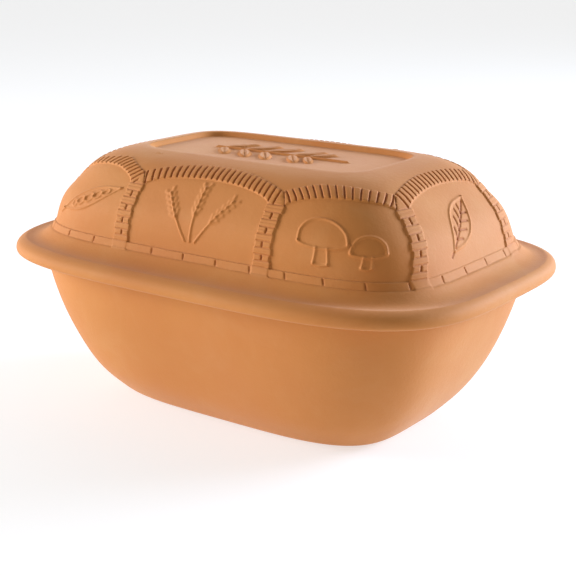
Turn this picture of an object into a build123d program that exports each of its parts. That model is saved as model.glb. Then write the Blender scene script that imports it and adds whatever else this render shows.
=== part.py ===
from build123d import *
import os
from math import cos, pi, sin

# Covered clay baker: an oval-cornered tub and the domed lid that rests on its rim.
# Millimetres. +Z is up, +X runs along the dish, and the origin is on the table under its centre.

# ---- driving dimensions ----
LENGTH = 375.0  # over the lid's lip
WIDTH = 257.0
HEIGHT = 183.0

WALL = 9.0  # tub wall
FLOOR = 9.0  # tub floor
LID_WALL = 10.0
RIM_Z = 112.0  # the flat plane where the lid rests on the tub
LIP_Z = 104.4  # lower edge of the lid's lip, which hides the tub's rim
LIP_CLEARANCE = 1.6  # between the tub's rim and the inside of the lip

RECESS_HALF = (92.0, 44.5)  # sunk field in the crown of the lid
RECESS_DEPTH = 3.5
RECESS_DRAFT = 1.5
SPLINE_POINTS = 40  # round one outline

# Outlines of the outside, each (height, half length, half width, corner exponent):
# 2 is an ellipse, and more is squarer.
TUB_OUTSIDE = [
    (0.0, 107.5, 62.0, 3.9),
    (7.0, 119.5, 73.2, 3.9),
    (20.0, 131.7, 84.4, 3.9),
    (40.0, 145.0, 93.6, 3.9),
    (69.0, 157.5, 103.2, 3.9),
    (LIP_Z, 167.4, 109.4, 3.9),
    (RIM_Z, 168.8, 110.6, 3.9),
]
LIP_OUTSIDE = [
    (LIP_Z, 181.7, 122.7, 3.7),
    (105.8, 185.8, 126.8, 3.7),
    (109.0, LENGTH / 2, WIDTH / 2, 3.7),
    (112.6, 186.4, 127.0, 3.7),
    (115.4, 182.8, 120.6, 3.7),
]
COVE_OUTSIDE = [
    (115.4, 182.8, 120.6, 3.7),
    (116.9, 174.2, 110.8, 3.95),
    (119.4, 167.2, 103.9, 4.3),
    (122.4, 163.4, 100.3, 4.6),
]
PLINTH_OUTSIDE = [(122.4, 162.4, 99.3, 4.6), (127.2, 159.4, 98.2, 4.65)]
DOME_OUTSIDE = [
    (127.2, 158.0, 96.8, 4.68),
    (147.5, 148.2, 94.3, 4.7),
    (160.0, 138.3, 87.3, 4.7),
    (170.8, 126.7, 78.7, 4.7),
    (179.5, 111.1, 63.9, 4.95),
    (HEIGHT, 95.2, 48.5, 5.9),
]


def outline(z, half_length, half_width, rounding):
    """A superellipse as one closed face at height z."""
    points = []
    for i in range(SPLINE_POINTS):
        angle = 2 * pi * i / SPLINE_POINTS
        stretch = (abs(cos(angle)) ** rounding + abs(sin(angle)) ** rounding) ** (-1 / rounding)
        points.append(Vector(half_length * stretch * cos(angle), half_width * stretch * sin(angle), z))
    return Face(Wire([Edge.make_spline(points, periodic=True)]))


def skin(sections, ruled=False):
    """A solid through outlines stacked up in height."""
    return loft([outline(*section) for section in sections], ruled=ruled)


def inset(sections, thickness, drop):
    """The sections moved inwards by thickness, and down by up to drop at the top one."""
    low, high = sections[0][0], sections[-1][0]
    return [
        (z - drop * ((z - low) / (high - low)) ** 2, a - thickness, b - thickness, n)
        for z, a, b, n in sections
    ]


def make_tub():
    """The cooking tub: flat foot, large-radius bottom, flared wall and a flat rim."""
    floor_z, floor_a, floor_b, rounding = TUB_OUTSIDE[0]
    inside = [(FLOOR, floor_a - 3, floor_b - 3, rounding)]
    inside += [
        (z + FLOOR * (1 - z / RIM_Z) ** 2, a - WALL, b - WALL, n) for z, a, b, n in TUB_OUTSIDE[1:]
    ]
    return skin(TUB_OUTSIDE) - skin(inside)


def make_lid():
    """The domed lid: lip over the rim, concave cove, brick plinth, dome and sunk crown."""
    body = skin(LIP_OUTSIDE) + skin(COVE_OUTSIDE) + skin(PLINTH_OUTSIDE, ruled=True)
    body += skin(DOME_OUTSIDE)

    _, rim_a, rim_b, rounding = TUB_OUTSIDE[-1]
    mouth = (rim_a + LIP_CLEARANCE, rim_b + LIP_CLEARANCE, rounding)
    body -= skin([(LIP_Z - 2, *mouth), (RIM_Z, *mouth)], ruled=True)

    _, foot_a, foot_b, rounding = DOME_OUTSIDE[0]
    hollow = [(RIM_Z, foot_a - LID_WALL + 3, foot_b - LID_WALL + 3, rounding)]
    body -= skin(hollow + inset(DOME_OUTSIDE, LID_WALL, LID_WALL + 2))

    recess_a, recess_b = RECESS_HALF
    body -= skin(
        [
            (HEIGHT - RECESS_DEPTH, recess_a - RECESS_DRAFT, recess_b - RECESS_DRAFT, 6.0),
            (HEIGHT, recess_a, recess_b, 6.0),
        ],
        ruled=True,
    )
    return body


os.makedirs("parts", exist_ok=True)
nodes = {"base_tub": make_tub(), "domed_lid": make_lid()}
for name, solid in nodes.items():
    export_step(solid, f"parts/{name}.step")
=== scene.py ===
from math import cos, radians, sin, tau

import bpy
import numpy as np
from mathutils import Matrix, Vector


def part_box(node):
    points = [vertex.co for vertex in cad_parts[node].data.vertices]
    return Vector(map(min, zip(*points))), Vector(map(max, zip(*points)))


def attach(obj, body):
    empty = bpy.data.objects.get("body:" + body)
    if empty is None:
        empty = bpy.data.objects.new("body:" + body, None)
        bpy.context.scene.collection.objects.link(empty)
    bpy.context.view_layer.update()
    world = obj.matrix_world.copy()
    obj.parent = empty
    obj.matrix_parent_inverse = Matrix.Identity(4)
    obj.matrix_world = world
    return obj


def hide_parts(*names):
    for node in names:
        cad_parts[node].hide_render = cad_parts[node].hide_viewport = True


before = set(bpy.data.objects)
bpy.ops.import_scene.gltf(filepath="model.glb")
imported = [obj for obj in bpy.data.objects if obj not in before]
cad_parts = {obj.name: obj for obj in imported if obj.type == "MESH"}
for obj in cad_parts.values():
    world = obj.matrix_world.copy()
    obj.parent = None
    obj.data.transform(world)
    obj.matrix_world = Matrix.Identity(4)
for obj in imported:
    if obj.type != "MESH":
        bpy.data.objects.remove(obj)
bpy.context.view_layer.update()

# A covered clay baker: an unglazed tub and a domed lid with a moulded arcade of brick arches.
# Each piece is one skin, laid out as rows (outlines stacked from the inside out) and columns
# (spokes round the outline), and the moulded relief pushes that skin out along its normals.

MM = 0.001
lid_high = np.array(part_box("domed_lid")[1]) / MM
tub_high = np.array(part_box("base_tub")[1]) / MM

# ---- sizes in millimetres, from the frame ----
LIP_A, LIP_B = lid_high[0] - 0.15, lid_high[1] - 0.1  # half length and half width over the lip
CROWN_Z = lid_high[2] - 0.05
RIM_Z = tub_high[2]  # where the lid rests
LIP_CLEARANCE = 1.6
TUB_WALL = 9.0
TUB_FLOOR = 9.0
LID_WALL = 10.0

# Outside of the lid: height over the rim plane, inset from the lip in length and width, roundness.
LIP = [(-7.5, 7.0, 7.0, 3.71), (-7.4, 5.4, 5.2, 3.71), (-6.7, 2.0, 1.9, 3.71), (-5.2, 0.3, 0.3, 3.71),
       (-3.7, 0.0, 0.0, 3.71), (-0.2, 0.5, 0.8, 3.71), (2.4, 2.2, 3.5, 3.71), (4.0, 4.8, 7.8, 3.71)]
COVE = [(4.0, 5.0, 8.2, 3.71), (3.7, 9.6, 12.8, 3.85), (4.5, 15.4, 18.8, 4.05), (7.2, 20.8, 24.7, 4.4),
        (10.4, 24.2, 28.6, 4.55)]
PLINTH = [(10.4, 25.1, 29.2, 4.6), (15.2, 28.1, 30.3, 4.65)]
DOME = [(15.4, 28.9, 31.7, 4.7), (35.5, 38.0, 34.2, 4.75), (48.0, 49.2, 41.2, 4.7), (58.8, 60.8, 49.8, 4.7),
        (67.5, 76.4, 64.6, 4.95), (CROWN_Z - RIM_Z - 0.1, 91.1, 79.0, 6.0)]
RECESS = (92.0, 44.5, 6.0)  # half length, half width, roundness of the sunk field
RECESS_DEPTH = 3.5

# Outside of the tub: height, half length, half width.
TUB = [(0.0, 107.4, 61.9), (1.2, 112.0, 66.2), (7.0, 119.6, 73.3), (20.0, 131.7, 84.4), (40.0, 145.0, 93.6),
       (69.0, 157.5, 103.2), (104.0, 167.4, 109.4), (RIM_Z - 1.5, 168.6, 110.4)]
TUB_ROUNDNESS = 3.9

# The arcade: eight brick columns, and an arch over each of the eight panels between them.
# Column centre lines at the foot and at the spring. The lid reads the same turned half round.
PLINTH_TOP = RIM_Z + 15.2
SPRING_Z = RIM_Z + 53.0  # column tops, where the arches spring
FRONT_LEFT_X, FRONT_RIGHT_X = (62.5, 58.0), (57.5, 59.5)
END_FRONT_Y, END_BACK_Y = (65.0, 47.5), (49.0, 54.0)
COLUMN_WIDTH = 12.4
COURSES = 9
# Rise of an arch's upper edge and of its lower edge at its crown, over the spring, and how full
# the upper edge's curve is.
ARCHES = {
    "end": (13.0, 7.0, 2.3),
    "corner": (13.4, 8.4, 1.6),
    "middle": (14.6, 8.3, 2.3),
    "tucked": (12.9, 6.9, 2.3),
}
ARCH_MEETING = 7.4  # height over the spring where two arches' upper edges meet
SOFFIT_FULLNESS = 0.6
VOUSSOIR = 4.7  # spacing of the joints along an arch
BRICK_COUNT = 34  # round the plinth
PLINTH_HEIGHT = 4.6
BRICK_PHASE = 0.2  # how far the plinth's joints are moved along, as a share of a brick
JOINT_DEPTH = 1.3
BED_JOINT, COLUMN_JOINT, ARCH_JOINT, PLINTH_JOINT = 0.8, 0.95, 0.9, 0.9  # widths
BAND_HEIGHT = 1.1
PANEL_DEPTH = 0.1
SHOULDER_HEIGHT = 0.3

# Lines of the panel pictures: width and height. A negative height is a sunk line. A picture's
# points are millimetres round from the panel's centre and up from its foot.
SOFT, RAISED, SUNK = (2.4, 0.6), (1.5, 0.75), (1.25, -0.75)
PICTURE_FOOT = 8.0

# The raised branch in the crown: its stem, and pairs of leaves as (share of the way along, length).
BRANCH_STEM = [(-54, 0), (-18, 0), (18, 0), (58, 0)]
BRANCH_LEAVES = [(0.08, 26), (0.27, 28), (0.46, 28), (0.65, 26), (0.82, 22)]
BRANCH_HEIGHT = 1.5
LEAF_TURN = 52  # degrees between a leaf and the stem

FINE, COARSE = ((0.55, 1640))  # row spacing and columns of the lid


def smooth_curve(points, spacing):
    """Evenly spaced rows on a natural cubic spline through the points."""
    points = np.array(points, float)
    knots = np.concatenate([[0], np.cumsum(np.linalg.norm(np.diff(points[:, :3], axis=0), axis=1))])
    gaps = np.diff(knots)
    count = len(points)
    system, right = np.eye(count), np.zeros_like(points)
    for i in range(1, count - 1):
        system[i, i - 1 : i + 2] = gaps[i - 1], 2 * (gaps[i - 1] + gaps[i]), gaps[i]
        right[i] = 6 * ((points[i + 1] - points[i]) / gaps[i] - (points[i] - points[i - 1]) / gaps[i - 1])
    bend = np.linalg.solve(system, right)
    at = np.linspace(0, knots[-1], max(2, int(np.ceil(knots[-1] / spacing)) + 1))
    i = np.clip(np.searchsorted(knots, at) - 1, 0, count - 2)
    gap = gaps[i][:, None]
    before, after = (knots[i + 1] - at)[:, None], (at - knots[i])[:, None]
    return (
        (bend[i] * before**3 + bend[i + 1] * after**3) / (6 * gap)
        + (points[i] / gap - bend[i] * gap / 6) * before
        + (points[i + 1] / gap - bend[i + 1] * gap / 6) * after
    )


def from_lip(rows):
    """Rows given as insets from the lip, as height, half length, half width and roundness."""
    return [(RIM_Z + z, LIP_A - inset_a, LIP_B - inset_b, n) for z, inset_a, inset_b, n in rows]


def even_angles(a, b, roundness, count):
    """Spoke angles that come out evenly spaced round an outline of this size."""
    angles = np.linspace(0, tau, 20001)
    stretch = (abs(np.cos(angles)) ** roundness + abs(np.sin(angles)) ** roundness) ** (-1 / roundness)
    x, y = a * stretch * np.cos(angles), b * stretch * np.sin(angles)
    along = np.concatenate([[0], np.cumsum(np.hypot(np.diff(x), np.diff(y)))])
    return np.interp(np.arange(count) / count * along[-1], along, angles)


def skin_points(rows, angles):
    """Points of every row (height, half length, half width, roundness) at every spoke."""
    z, a, b, n = (column[:, None] for column in np.array(rows).T)
    stretch = (abs(np.cos(angles)) ** n + abs(np.sin(angles)) ** n) ** (-1 / n)
    return np.stack([a * stretch * np.cos(angles), b * stretch * np.sin(angles), z + 0 * stretch], axis=-1)


def skin_normals(points):
    """Outward normals, by differences along rows and columns."""
    along = np.roll(points, -1, axis=1) - np.roll(points, 1, axis=1)
    across = np.gradient(points, axis=0)
    normals = np.cross(along, across)
    return normals / np.maximum(np.linalg.norm(normals, axis=-1, keepdims=True), 1e-9)


def skin_mesh(name, points, start_z, end_z, groove_shade=None):
    """One closed mesh from a grid of points, its two ends closed at points on the axis."""
    rows, columns = points.shape[:2]
    grid = np.arange(rows * columns).reshape(rows, columns)
    beside = np.roll(grid, -1, axis=1)
    quads = np.stack([grid[:-1], beside[:-1], beside[1:], grid[1:]], axis=-1).reshape(-1, 4)
    first, last = rows * columns, rows * columns + 1
    fan_in = np.stack([np.full(columns, first), beside[0], grid[0]], axis=-1)
    fan_out = np.stack([np.full(columns, last), grid[-1], beside[-1]], axis=-1)
    corners = np.concatenate([quads.ravel(), fan_in.ravel(), fan_out.ravel()])
    sizes = np.concatenate([np.full(len(quads), 4), np.full(2 * columns, 3)])
    vertices = np.concatenate([points.reshape(-1, 3), [(0, 0, start_z), (0, 0, end_z)]]) * MM

    mesh = bpy.data.meshes.new(name)
    mesh.vertices.add(len(vertices))
    mesh.vertices.foreach_set("co", vertices.ravel())
    mesh.loops.add(len(corners))
    mesh.loops.foreach_set("vertex_index", corners)
    mesh.polygons.add(len(sizes))
    mesh.polygons.foreach_set("loop_start", np.concatenate([[0], np.cumsum(sizes)[:-1]]))
    mesh.polygons.foreach_set("use_smooth", np.ones(len(sizes), bool))
    mesh.update(calc_edges=True)
    # The painted shade of the grooves is kept as a colour attribute on the points.
    if groove_shade is not None:
        shade = np.concatenate([groove_shade.ravel(), [0.0, 0.0]])
        colours = np.stack([shade, shade, shade, np.ones_like(shade)], axis=-1)
        mesh.color_attributes.new("groove_shade", "FLOAT_COLOR", "POINT").data.foreach_set("color", colours.ravel())
    mesh.validate()
    piece = bpy.data.objects.new(name, mesh)
    bpy.context.scene.collection.objects.link(piece)
    return piece


def step(value, width):
    """0 below zero and 1 above it, eased over the width."""
    t = np.clip(value / width + 0.5, 0, 1)
    return t * t * (3 - 2 * t)


def line(distance, width):
    """A soft-edged line: 1 at distance 0, falling to 0 at about its width."""
    return np.exp(-((distance / (0.55 * width)) ** 2))


class Chart:
    """The dome's surface as a map: place round it, height up it, and distances in millimetres."""

    def __init__(self, points):
        self.z = points[:, :, 2]
        self.ring = np.linalg.norm(np.roll(points, -1, axis=1) - points, axis=-1)
        self.round = np.cumsum(self.ring, axis=1) - self.ring
        self.girth = self.ring.sum(axis=1, keepdims=True)
        rise = np.linalg.norm(np.diff(points, axis=0), axis=-1)
        self.up = np.concatenate([np.zeros((1, points.shape[1])), np.cumsum(rise, axis=0)])
        self.nominal = np.interp(self.z, *self.side_profile())
        climb = np.clip((self.z[:, 0] - PLINTH_TOP) / (SPRING_Z - PLINTH_TOP), 0, 1.15)
        first = points[:, : points.shape[1] // 4 + 2]
        end_back = self.places(first, 1, END_BACK_Y, climb)
        end_front = self.places(first, 1, END_FRONT_Y, climb)
        side_front = self.places(first, 0, FRONT_LEFT_X, climb)
        side_back = self.places(first, 0, FRONT_RIGHT_X, climb)
        half_turn = self.girth / 2
        self.half_ring = [end_back, side_front, half_turn - side_back, half_turn - end_front]

    @staticmethod
    def side_profile():
        """Height against the distance up the middle of a long side, from the dome's foot."""
        rows = smooth_curve(from_lip(DOME), 0.5)
        rise = np.hypot(np.diff(rows[:, 0]), np.diff(rows[:, 2]))
        return rows[:, 0], np.concatenate([[0], np.cumsum(rise)])

    def places(self, quarter, axis, ends, climb):
        """Where round each row a centre line lies, given its x or y at the foot and at the spring."""
        wanted = ends[0] + (ends[1] - ends[0]) * climb
        along = self.round[:, : quarter.shape[1]]
        way = 1 if axis else -1
        return np.array([
            [np.interp(way * w, way * row[:, axis], place)] for w, row, place in zip(wanted, quarter, along)
        ])

    def away(self, place):
        """Signed distance round the dome from a place; positive is to the right, seen from outside."""
        return (self.round - place + self.girth / 2) % self.girth - self.girth / 2

    def span(self, field):
        """A field turned into the distance in millimetres from where it is zero."""
        across = (np.roll(field, -1, axis=1) - np.roll(field, 1, axis=1)) / (
            self.ring + np.roll(self.ring, 1, axis=1)
        )
        along = np.gradient(field, axis=0) / np.maximum(np.gradient(self.up, axis=0), 1e-6)
        return field / np.maximum(np.hypot(across, along), 0.05)

    def columns(self):
        """Centre lines of the eight columns."""
        for turn in (0, self.girth / 2):
            yield from (turn + place for place in self.half_ring)

    def panels(self):
        """The eight panels: kind, centre, half width, and the lean and fan of the arch's joints.
        An arch laps over those that come later, so the end arches are whole and come first."""
        end_back, side_front, side_back, end_front = self.half_ring
        last_end = end_front - self.girth / 2
        spans = [
            ("end", last_end, end_back, 2.0, 4.0),
            ("corner", end_back, side_front, -0.5, 3.5),
            ("middle", side_front, side_back, -1.5, 2.2),
            ("tucked", side_back, end_front, 1.0, 3.5),
        ]
        for kind, start, stop, lean, fan in spans:
            for turn in (0, self.girth / 2):
                yield kind, turn + (start + stop) / 2, (stop - start) / 2, lean, fan


def arcade_relief(chart, rng):
    """Height of the moulded arcade over the dome, and how deep in a joint each point is."""
    z = chart.z
    half_column = COLUMN_WIDTH / 2
    above_spring = z > SPRING_Z
    opening, under_arch, joints = np.zeros_like(z), np.zeros_like(z), np.zeros_like(z)
    edge_of_earlier = np.full_like(z, 50.0)
    covered = np.zeros_like(z, bool)

    # Courses of the columns: one brick and two bricks in turn, the single ones standing proud.
    course = (z - PLINTH_TOP) / (SPRING_Z - PLINTH_TOP) * COURSES
    number = np.clip(np.floor(course), 0, COURSES - 1).astype(int)
    course_height = (SPRING_Z - PLINTH_TOP) / COURSES
    to_bed_joint = chart.span((course - np.round(course)) * course_height)
    in_column = (z > PLINTH_TOP - PLINTH_HEIGHT) & (z < SPRING_Z + 1)
    wander = np.zeros_like(z)
    for centre in chart.columns():
        s = chart.away(centre)
        own = np.abs(s) < 2 * half_column
        proud = np.where(np.arange(COURSES) % 2 == 0, 0.7, -0.2) + rng.uniform(-0.25, 0.25, COURSES)
        wander = np.where(own, proud[number], wander)
        middle = rng.uniform(-0.6, 0.6, COURSES)[number]
        inside = in_column & (np.abs(s) < half_column + proud[number] - 0.8)
        bed = line(to_bed_joint, BED_JOINT) * 0.5
        upright = line(s - middle, COLUMN_JOINT) * (number % 2 == 1)
        upright *= step(0.42 - np.abs(course % 1 - 0.5), 0.12)
        joints = np.where(inside, np.maximum(joints, np.maximum(bed, upright)), joints)

    for kind, centre, half, lean, fan in chart.panels():
        s = chart.away(centre)
        inner = half - half_column
        upper_rise, lower_rise, fullness = ARCHES[kind]
        upper = SPRING_Z + upper_rise - (upper_rise - ARCH_MEETING) * np.abs(s / half) ** fullness
        lower = SPRING_Z + lower_rise * np.clip(1 - (s / inner) ** 2, 0, 1) ** SOFFIT_FULLNESS
        lap = half_column * np.clip(1 - (z - SPRING_Z) / ARCH_MEETING, 0.15, 1) ** 0.7
        below_upper = np.minimum(chart.span(upper - z), half + lap - np.abs(s))
        below_lower = np.where(np.abs(s) < inner, chart.span(lower - z), -50)
        below_lower = np.where(above_spring, below_lower, 50)
        beside_column = inner - wander * ~above_spring - np.abs(s)
        opening = np.maximum(opening, step(beside_column, 0.9) * step(below_lower, 1.0))
        under_arch = np.maximum(under_arch, step(below_upper, 1.0))
        own = above_spring & (below_upper > -0.2) & ((below_lower < 0) | (np.abs(s) > inner)) & ~covered
        share = np.clip((z - lower) / np.maximum(upper - lower, 1e-6), 0, 1)
        foot = s - (lean + fan * s / half) * share
        to_joint = np.abs(foot / VOUSSOIR - np.round(foot / VOUSSOIR)) * VOUSSOIR
        between_edges = step(below_upper + 0.4, 0.6) * step(-0.2 - below_lower, 0.5)
        cut = line(to_joint, ARCH_JOINT) * between_edges * (np.abs(foot) < inner + 5)
        cut = np.maximum(cut, line(edge_of_earlier, 1.0))
        joints = np.where(own, np.maximum(joints, cut), joints)
        edge_of_earlier = np.minimum(edge_of_earlier, np.abs(below_upper))
        covered |= above_spring & (below_upper > 0)

    shoulder = np.where(above_spring, 1 - under_arch, 0)
    # The line along the spring is cut in and, as one of the joints, also painted darker as painted shade.
    spring_line = line(chart.span(z - SPRING_Z), 0.8) * 0.5 * (1 - np.maximum(opening, shoulder))
    joints = np.maximum(joints, spring_line)
    fade = np.clip((CROWN_Z - z) / (CROWN_Z - SPRING_Z) * 2, 0, 1)
    height = BAND_HEIGHT - (BAND_HEIGHT + PANEL_DEPTH) * opening
    height -= (BAND_HEIGHT - SHOULDER_HEIGHT * fade) * shoulder
    return height, joints, opening


def plinth_relief(chart, height, joints):
    """The course of long bricks that the arcade stands on."""
    z = chart.z
    low = PLINTH_TOP - PLINTH_HEIGHT
    on_plinth = step(PLINTH_TOP - z, 0.6) * step(z - low, 0.6)
    at_column = np.zeros_like(z)
    for centre in chart.columns():
        at_column = np.maximum(at_column, step(COLUMN_WIDTH / 2 - np.abs(chart.away(centre)), 1.0))
    pitch = chart.girth / BRICK_COUNT
    brick = chart.away(chart.girth * 0.75) / pitch + BRICK_PHASE
    upright = line((brick - np.round(brick)) * pitch, PLINTH_JOINT) * step(PLINTH_TOP - 0.4 - z, 0.5)
    upright *= step(z - low - 0.4, 0.5) * (1 - at_column)
    # A faint line at the plinth's foot, cut in slightly and painted darker as painted shade at the step.
    lower_line = line(chart.span(z - low), 0.7) * 0.12
    flat = height * (1 - on_plinth) + 0.3 * at_column * on_plinth
    return flat, np.maximum(joints * (1 - on_plinth), np.maximum(0.65 * upright * on_plinth, lower_line))


def oval(x, y, half_width, half_height):
    """Points round an upright oval."""
    return [(x + half_width * cos(a), y + half_height * sin(a)) for a in np.linspace(0, tau, 13)]


def heading(turn):
    """The direction this many degrees round from upright."""
    return np.array([sin(radians(turn)), cos(radians(turn))])


def blade(start, length, width, turn):
    """The two sides of a pointed blade that grows from its start."""
    along, across = heading(turn), heading(turn + 90)
    t = np.linspace(0, 1, 9)[:, None]
    bulge = width / 2 * np.sin(np.pi * t) * across
    return [start + length * t * along + bulge, start + length * t * along - bulge]


def wheat():
    """Three ears of wheat in a plain symmetrical fan."""
    stalk, first_grain, grain_pitch, spread = 38, 17, 4.6, 30
    lines = []
    for turn in (-36, 0, 36):
        along = heading(turn)
        foot = np.array([turn * 0.12, PICTURE_FOOT])
        lines.append((*RAISED, [foot, foot + stalk * along]))
        for at in np.arange(first_grain, stalk - 1, grain_pitch):
            for side in (-spread, spread):
                outwards = heading(turn + side)
                grain = foot + at * along
                lines.append((*SOFT, [grain + 1.6 * outwards, grain + 6.0 * outwards]))
    return lines


def mushrooms():
    """A large and a small mushroom, each a half round cap on a straight stalk."""
    cap_half, brim_height, cap_rise, brim_sag = 17, 13, 15, 3.5
    lines = []
    for x, size in ((-11, 1.0), (19, 0.66)):
        for bulge in (cap_rise, -brim_sag):
            lines.append((*RAISED, [
                (x + cap_half * size * cos(a), PICTURE_FOOT + size * (brim_height + bulge * sin(a)))
                for a in np.linspace(0, np.pi, 9)
            ]))
        for side in (-1, 1):
            stalk_top = (x + side * 4 * size, PICTURE_FOOT + 9.5 * size)
            lines.append((*RAISED, [stalk_top, (x + side * 5 * size, PICTURE_FOOT)]))
        lines.append((*RAISED, [
            (x - 5 * size, PICTURE_FOOT), (x, PICTURE_FOOT - 1), (x + 5 * size, PICTURE_FOOT)
        ]))
    return lines


def leaf():
    """One plain leaf with a midrib and paired veins."""
    start, turn, length, width = np.array([-18.0, 10.0]), 50, 44, 20
    along = heading(turn)
    lines = [(*RAISED, side) for side in blade(start, length, width, turn)]
    lines.append((*SUNK, [start - 5 * along, start + (length - 4) * along]))
    for at in (9, 16, 23, 30):
        reach = 0.36 * width * sin(np.pi * (at + 4) / length)
        vein = start + at * along
        lines += [(*SUNK, [vein, vein + reach * 1.2 * heading(turn + side)]) for side in (-48, 48)]
    return lines


def pea_pod():
    """An open pod with a row of round peas."""
    start, turn, length, width = np.array([-8.0, 14.0]), 62, 46, 15
    lines = [(*RAISED, side) for side in blade(start, length, width, turn)]
    lines.append((*RAISED, [start, start - 6 * heading(turn - 12)]))
    for at, size in ((11, 2.4), (17, 3.0), (23.5, 3.3), (30, 3.0), (36, 2.4)):
        lines.append((*RAISED, oval(*(start + at * heading(turn)), size, size)))
    return lines


def drawn_curve(points, steps=6):
    """A smooth curve through the points, as a polyline."""
    points = np.array(points, float)
    if len(points) < 3:
        return points
    ends = np.concatenate([[2 * points[0] - points[1]], points, [2 * points[-1] - points[-2]]])
    t = (np.arange(steps) / steps)[:, None]
    pieces = []
    for p0, p1, p2, p3 in zip(ends, ends[1:], ends[2:], ends[3:]):
        pieces.append(0.5 * (2 * p1 + (p2 - p0) * t + (2 * p0 - 5 * p1 + 4 * p2 - p3) * t**2
                             + (3 * p1 - 3 * p2 + p3 - p0) * t**3))
    return np.concatenate([*pieces, points[-1:]])


def distance_to(polyline, x, y):
    """Distance of every point (x, y) from a polyline."""
    nearest = np.full(x.shape, 1e3)
    for (x0, y0), (x1, y1) in zip(polyline, polyline[1:]):
        dx, dy = x1 - x0, y1 - y0
        t = np.clip(((x - x0) * dx + (y - y0) * dy) / max(dx * dx + dy * dy, 1e-9), 0, 1)
        nearest = np.minimum(nearest, np.hypot(x - x0 - t * dx, y - y0 - t * dy))
    return nearest


def picture_relief(chart):
    """The plain pictures in the panels, drawn with soft raised or sunk lines."""
    pictures = {"middle": wheat(), "tucked": mushrooms(), "end": leaf(), "corner": pea_pod()}
    height = np.zeros_like(chart.z)
    for kind, centre, half, _, _ in chart.panels():
        s, t = chart.away(centre), chart.nominal
        inside = (np.abs(s) < half) & (t > 0.5) & (t < 64)
        x, y = s[inside], t[inside]
        drawn = np.zeros_like(x)
        for width, raised, points in pictures[kind]:
            curve = drawn_curve(points)
            reach = 2.5 * width
            near = ((x > curve[:, 0].min() - reach) & (x < curve[:, 0].max() + reach)
                    & (y > curve[:, 1].min() - reach) & (y < curve[:, 1].max() + reach))
            drawn[near] += raised * line(distance_to(curve, x[near], y[near]), width)
        height[inside] += drawn
    return height


def branch_relief(points):
    """A raised branch with paired leaves along the middle of the sunk field."""
    x, y = points[..., 0], points[..., 1]
    stem = drawn_curve(BRANCH_STEM)
    raised = BRANCH_HEIGHT * line(distance_to(stem, x, y), 2.2)
    leaves = [(at, side, length) for at, length in BRANCH_LEAVES for side in (-1, 1)]
    for at, side, length in leaves:
        i = int(at * (len(stem) - 2))
        along = stem[i + 1] - stem[i]
        along /= np.hypot(*along)
        turn = side * radians(LEAF_TURN)
        u = np.array([
            along[0] * cos(turn) - along[1] * sin(turn), along[0] * sin(turn) + along[1] * cos(turn)
        ])
        from_base = (x - stem[i][0]) * u[0] + (y - stem[i][1]) * u[1]
        off_axis = (y - stem[i][1]) * u[0] - (x - stem[i][0]) * u[1]
        fill = 1 - (2 * from_base / length - 1.1) ** 2 - (off_axis / (0.16 * length)) ** 2
        leaf = BRANCH_HEIGHT * step(fill - 0.1, 0.5) * (1 - 0.45 * line(off_axis, 1.2))
        raised = np.maximum(raised, leaf)
    return raised


def lid_rows():
    """Every row of the lid, from the middle of its ceiling, round the lip, to the middle of its crown."""
    lip_in = np.array([tub_high[0] + LIP_CLEARANCE, tub_high[1] + LIP_CLEARANCE, TUB_ROUNDNESS])
    dome = from_lip(DOME)
    ceiling = []
    for z, a, b, n in dome[:0:-1]:
        drop = (LID_WALL + 2) * ((z - PLINTH_TOP) / (CROWN_Z - PLINTH_TOP)) ** 2
        ceiling.append((z - drop, a - LID_WALL, b - LID_WALL, n))
    top = ceiling[0]
    mouth = np.array([dome[0][1] - LID_WALL + 3, dome[0][2] - LID_WALL + 3, dome[0][3]])
    ceiling.append((RIM_Z + 3, *mouth))

    def ring(z, outline, wider):
        return (z, outline[0] + wider, outline[1] + wider, outline[2])

    inner = [
        np.linspace((top[0], 2, 1, 5), top, 18)[:-1],
        smooth_curve(ceiling, 4.0),
        [ring(RIM_Z + 0.6, mouth, 0.2), ring(RIM_Z + 0.05, mouth, 0.8)],
        np.linspace(ring(RIM_Z + 0.02, mouth, 2), ring(RIM_Z + 0.02, lip_in, 0), 5),
        np.linspace(ring(RIM_Z - 0.6, lip_in, 0), ring(RIM_Z - 6.2, lip_in, 0), 4),
        [ring(RIM_Z - 7.0, lip_in, 0.3), ring(RIM_Z - 7.4, lip_in, 1.2)],
    ]
    edge = [smooth_curve(from_lip(LIP), 0.8), smooth_curve(from_lip(COVE), 1.0)[1:]]
    plinth_foot, plinth_top = from_lip(PLINTH)
    dome_foot = dome[0]
    relief = [
        np.linspace(plinth_foot, plinth_top, max(3, int(PLINTH_HEIGHT / FINE))),
        np.linspace(plinth_top, dome_foot, 4)[1:-1],
        smooth_curve(dome, FINE),
    ]
    sunk = np.array(RECESS)
    floor_z = CROWN_Z - RECESS_DEPTH
    crown = [
        [ring(CROWN_Z, sunk, 2.8), ring(CROWN_Z, sunk, 1.6), ring(CROWN_Z - 0.15, sunk, 0.8)],
        np.linspace(ring(CROWN_Z - 0.5, sunk, 0.2), ring(floor_z + 0.6, sunk, -1.1), 4),
        [ring(floor_z + 0.2, sunk, -1.6)],
        np.linspace(ring(floor_z, sunk, -2.4), (floor_z, 1.0, 0.5, RECESS[2]), int(RECESS[1] / FINE)),
    ]
    before = sum(len(rows) for rows in inner + edge)
    moulded = slice(before, before + sum(len(rows) for rows in relief))
    sunk_field = slice(-len(crown[-1]), None)
    return np.concatenate(inner + edge + relief + crown), moulded, sunk_field


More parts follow.
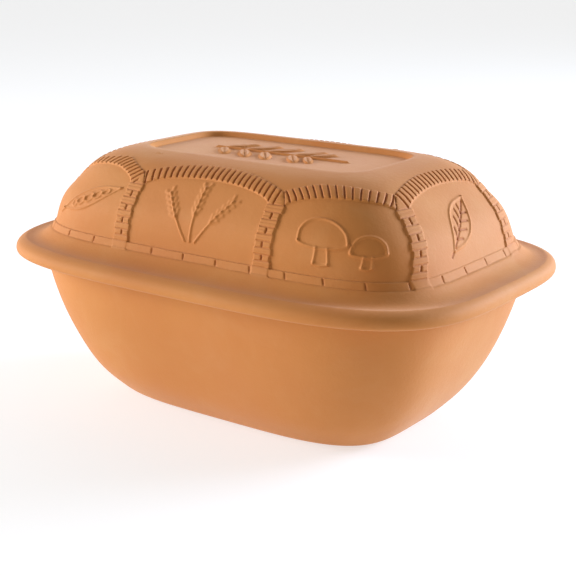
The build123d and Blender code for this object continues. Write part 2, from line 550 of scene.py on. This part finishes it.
def make_lid():
    rows, moulded, sunk_field = lid_rows()
    angles = even_angles(LIP_A - 24, LIP_B - 30, 4.7, COARSE)
    points = skin_points(rows, angles)
    normals = skin_normals(points)
    chart = Chart(points[moulded])
    height, joints, opening = arcade_relief(chart, np.random.default_rng(7))
    height, joints = plinth_relief(chart, height, joints)
    pictures = picture_relief(chart) * opening
    height += pictures
    # Painted shade: how dark each point is painted, from its joints and its sunk picture lines; the grooves
    # are cut in as well.
    groove_shade = np.zeros(points.shape[:2])
    groove_shade[moulded] = np.maximum(joints, np.clip(-pictures, 0, 0.7))
    points[moulded] += normals[moulded] * (height - JOINT_DEPTH * joints)[..., None]
    points[sunk_field, :, 2] += branch_relief(points[sunk_field])
    lid = skin_mesh("terracotta_lid", points, rows[0][0], points[-1, :, 2].mean(), groove_shade)
    thin = lid.modifiers.new("thin", "DECIMATE")
    thin.ratio = TRIANGLE_LIMIT / (2 * points.shape[0] * points.shape[1])
    shading = lid.modifiers.new("shading", "WEIGHTED_NORMAL")
    shading.weight = 60
    settled = bpy.data.meshes.new_from_object(lid.evaluated_get(bpy.context.evaluated_depsgraph_get()))
    lid.modifiers.clear()
    lid.data = settled
    return lid


def make_tub():
    """The tub, from the middle of its floor, over the rim, to the middle of its foot."""
    outside = [(z, a, b, TUB_ROUNDNESS) for z, a, b in TUB]
    _, foot_a, foot_b, n = outside[0]
    inside = [(TUB_FLOOR, foot_a - 6, foot_b - 6, n)]
    inside += [
        (z + TUB_FLOOR * (1 - z / RIM_Z) ** 2, a - TUB_WALL, b - TUB_WALL, n) for z, a, b, _ in outside[2:]
    ]
    _, rim_a, rim_b, _ = outside[-1]
    rim = [
        (RIM_Z - 0.4, rim_a - TUB_WALL + 0.3, rim_b - TUB_WALL + 0.3, n),
        (RIM_Z, rim_a - TUB_WALL + 1.2, rim_b - TUB_WALL + 1.2, n),
        (RIM_Z, rim_a - TUB_WALL / 2, rim_b - TUB_WALL / 2, n),
        (RIM_Z, rim_a - 1.2, rim_b - 1.2, n),
        (RIM_Z - 0.4, rim_a - 0.3, rim_b - 0.3, n),
    ]
    rows = np.concatenate([
        np.linspace((TUB_FLOOR, 2, 1, n), inside[0], 14)[:-1],
        smooth_curve(inside, 2.5),
        rim,
        smooth_curve(outside, 2.0)[::-1],
        np.linspace((0, foot_a - 1, foot_b - 1, n), (0, 2, 1, n), 12),
    ])
    points = skin_points(rows, even_angles(rim_a, rim_b, n, 520))
    return skin_mesh("terracotta_tub", points, rows[0][0], rows[-1][0], np.zeros(points.shape[:2]))


class Nodes:
    """A short way to write a material's node tree."""

    def __init__(self, name):
        self.material = bpy.data.materials.new(name)
        self.material.use_nodes = True
        self.tree = self.material.node_tree
        self.shader = self.tree.nodes["Principled BSDF"]

    def add(self, kind, inputs=(), **settings):
        node = self.tree.nodes.new(kind)
        for key, value in settings.items():
            setattr(node, key, value)
        for key, value in dict(inputs).items():
            self.put(node, key, value)
        return node

    def put(self, node, key, value):
        if isinstance(value, bpy.types.NodeSocket):
            self.tree.links.new(value, node.inputs[key])
        else:
            node.inputs[key].default_value = value

    def noise(self, scale, detail=4.0, roughness=0.55, stretch=(1, 1, 1), distortion=0.0):
        place = self.add("ShaderNodeTexCoord").outputs["Object"]
        moved = self.add("ShaderNodeMapping", {"Vector": place, "Scale": stretch}).outputs[0]
        return self.add("ShaderNodeTexNoise", {
            "Vector": moved, "Scale": scale, "Detail": detail,
            "Roughness": roughness, "Distortion": distortion,
        }).outputs["Fac"]

    def ramp(self, value, low, high):
        """The value stretched so that low becomes 0 and high becomes 1."""
        return self.add("ShaderNodeMapRange", {"Value": value, "From Min": low, "From Max": high}).outputs[0]

    def mix(self, share, first, second):
        node = self.add("ShaderNodeMix", data_type="RGBA")
        for key, value in ((0, share), (6, first), (7, second)):
            self.put(node, key, value)
        return node.outputs[2]

    def maths(self, operation, first, second):
        return self.add("ShaderNodeMath", {0: first, 1: second}, operation=operation).outputs[0]


def terracotta(name, warmth):
    """Unglazed fired clay: cloudy orange with paler bloom, fine pores and faint scuffs, with painted shade
    darkening its joints and sunk lines.
    """
    nodes = Nodes(name)
    clay = nodes.mix(nodes.ramp(nodes.noise(9.0, 3.0), 0.35, 0.68), (*CLAY_DEEP, 1), (*CLAY_MID, 1))
    bloom = nodes.maths("MULTIPLY", nodes.ramp(nodes.noise(22.0, 5.0, 0.6, distortion=0.6), 0.5, 0.8), 0.45)
    clay = nodes.mix(bloom, clay, (*CLAY_PALE, 1))
    blush = nodes.maths("MULTIPLY", nodes.ramp(nodes.noise(5.0, 2.0, 0.5), 0.52, 0.75), warmth)
    clay = nodes.mix(blush, clay, (*CLAY_BLUSH, 1))
    scuffs = nodes.ramp(nodes.noise(60.0, 3.0, 0.7, stretch=(1, 1, 0.12)), 0.62, 0.85)
    clay = nodes.mix(nodes.maths("MULTIPLY", scuffs, 0.18), clay, (*CLAY_PALE, 1))
    # Painted shade: the joints and sunk lines are mixed towards a dark clay colour, standing in for the shade
    # that falls in these grooves.
    groove_shade = nodes.add("ShaderNodeAttribute", attribute_name="groove_shade").outputs["Fac"]
    clay = nodes.mix(nodes.maths("MULTIPLY", groove_shade, 0.8), clay, (*CLAY_GROOVE_SHADE, 1))
    nodes.put(nodes.shader, "Base Color", clay)
    grain = nodes.noise(900.0, 3.0, 0.7)
    nodes.put(nodes.shader, "Roughness", nodes.add(
        "ShaderNodeMapRange", {"Value": grain, "To Min": 0.62, "To Max": 0.8}).outputs[0])
    nodes.put(nodes.shader, "Specular IOR Level", 0.4)
    nodes.put(nodes.shader, "Sheen Weight", 0.14)
    nodes.put(nodes.shader, "Sheen Roughness", 0.45)
    nodes.put(nodes.shader, "Sheen Tint", (1.0, 0.92, 0.84, 1))
    pores = nodes.maths("MULTIPLY", nodes.ramp(nodes.noise(420.0, 4.0, 0.65), 0.3, 0.7), 0.6)
    uneven = nodes.maths("ADD", pores, nodes.noise(70.0, 3.0, 0.5))
    bump = nodes.add("ShaderNodeBump", {"Height": uneven, "Strength": 0.22, "Distance": 0.0006})
    nodes.put(nodes.shader, "Normal", bump.outputs[0])
    return nodes.material


def make_floor():
    floor_mesh = bpy.data.meshes.new("floor")
    size = 6.0
    corners = [(-size, -size, 0), (size, -size, 0), (size, size, 0), (-size, size, 0)]
    floor_mesh.from_pydata(corners, [], [(0, 1, 2, 3)])
    floor = bpy.data.objects.new("floor", floor_mesh)
    bpy.context.scene.collection.objects.link(floor)
    nodes = Nodes("floor_paint")
    nodes.put(nodes.shader, "Base Color", (FLOOR_PAINT, FLOOR_PAINT, FLOOR_PAINT, 1))
    nodes.put(nodes.shader, "Emission Color", (1, 1, 1, 1))
    nodes.put(nodes.shader, "Emission Strength", FLOOR_GLOW)
    nodes.put(nodes.shader, "Roughness", 0.8)
    floor_mesh.materials.append(nodes.material)


def make_camera():
    """The camera looks at half the dish's height from a little above and to the right."""
    turn, tilt = radians(CAMERA_AZIMUTH), radians(CAMERA_ELEVATION)
    target = Vector((0, 0, CAMERA_TARGET_Z))
    back = Vector((sin(turn) * cos(tilt), -cos(turn) * cos(tilt), sin(tilt)))
    camera = bpy.data.objects.new("camera", bpy.data.cameras.new("camera"))
    camera.location = target + CAMERA_DISTANCE * back
    camera.rotation_euler = back.to_track_quat("Z", "Y").to_euler()
    camera.data.sensor_width = 36.0
    camera.data.lens = CAMERA_LENS
    camera.data.shift_x, camera.data.shift_y = CAMERA_SHIFT
    camera.data.clip_end = 50
    bpy.context.scene.collection.objects.link(camera)
    bpy.context.scene.camera = camera


def area_light(name, place, size, power, colour=(1, 1, 1), aim=(0, 0, 0.09)):
    light = bpy.data.lights.new(name, "AREA")
    light.shape, light.size, light.size_y = "RECTANGLE", *size
    light.energy, light.color = power, colour
    lamp = bpy.data.objects.new(name, light)
    lamp.location = place
    lamp.rotation_euler = (Vector(place) - Vector(aim)).to_track_quat("Z", "Y").to_euler()
    bpy.context.scene.collection.objects.link(lamp)


def make_light():
    world = bpy.data.worlds.new("studio")
    world.use_nodes = True
    tree = world.node_tree
    background = tree.nodes["Background"]
    background.inputs[0].default_value = (1, 1, 1, 1)
    towards_viewer = tree.nodes.new("ShaderNodeVectorMath")
    towards_viewer.operation = "DOT_PRODUCT"
    towards_viewer.inputs[1].default_value = DIM_SIDE
    tree.links.new(tree.nodes.new("ShaderNodeTexCoord").outputs["Generated"], towards_viewer.inputs[0])
    dimming = tree.nodes.new("ShaderNodeMapRange")
    dimming.interpolation_type = "SMOOTHSTEP"
    for key, value in {"From Min": -0.3, "From Max": 0.9, "To Min": 1.05, "To Max": DIM_STRENGTH}.items():
        dimming.inputs[key].default_value = value
    tree.links.new(towards_viewer.outputs["Value"], dimming.inputs["Value"])
    tree.links.new(dimming.outputs[0], background.inputs[1])
    bpy.context.scene.world = world
    for lamp in LAMPS:
        area_light(*lamp)


CLAY_DEEP = (0.56, 0.195, 0.036)
CLAY_MID = (0.6, 0.232, 0.048)
CLAY_PALE = (0.63, 0.29, 0.09)
CLAY_BLUSH = (0.55, 0.17, 0.046)
# The painted shade colour of the joints and sunk lines.
CLAY_GROOVE_SHADE = (0.33, 0.070, 0.014)
TRIANGLE_LIMIT = 190_000
FLOOR_PAINT, FLOOR_GLOW = 0.45, 0.6

CAMERA_AZIMUTH, CAMERA_ELEVATION = 36.2, 15.25
CAMERA_DISTANCE, CAMERA_TARGET_Z = 0.9241, 0.0925
CAMERA_LENS = 80.07
CAMERA_SHIFT = (0.0170, -0.0248)

DIM_SIDE = (0.40, -0.54, 0.74)  # the side of the studio that sends back the least light
DIM_STRENGTH = 0.2
LAMPS = [
    ("left_softbox", (-1.7, -1.0, 0.55), (1.0, 0.9), 40.0),
    ("right_softbox", (1.3, 1.6, 0.72), (1.2, 0.8), 61.0, (0.88, 1.05, 1.32)),
]

bpy.context.scene.view_settings.view_transform = "Standard"
lid, tub = make_lid(), make_tub()
lid.data.materials.append(terracotta("terracotta_lid", 0.35))
tub.data.materials.append(terracotta("terracotta_tub", 0.45))
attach(lid, "lid")
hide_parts("domed_lid")
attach(tub, "tub")
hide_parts("base_tub")
make_floor()
make_camera()
make_light()
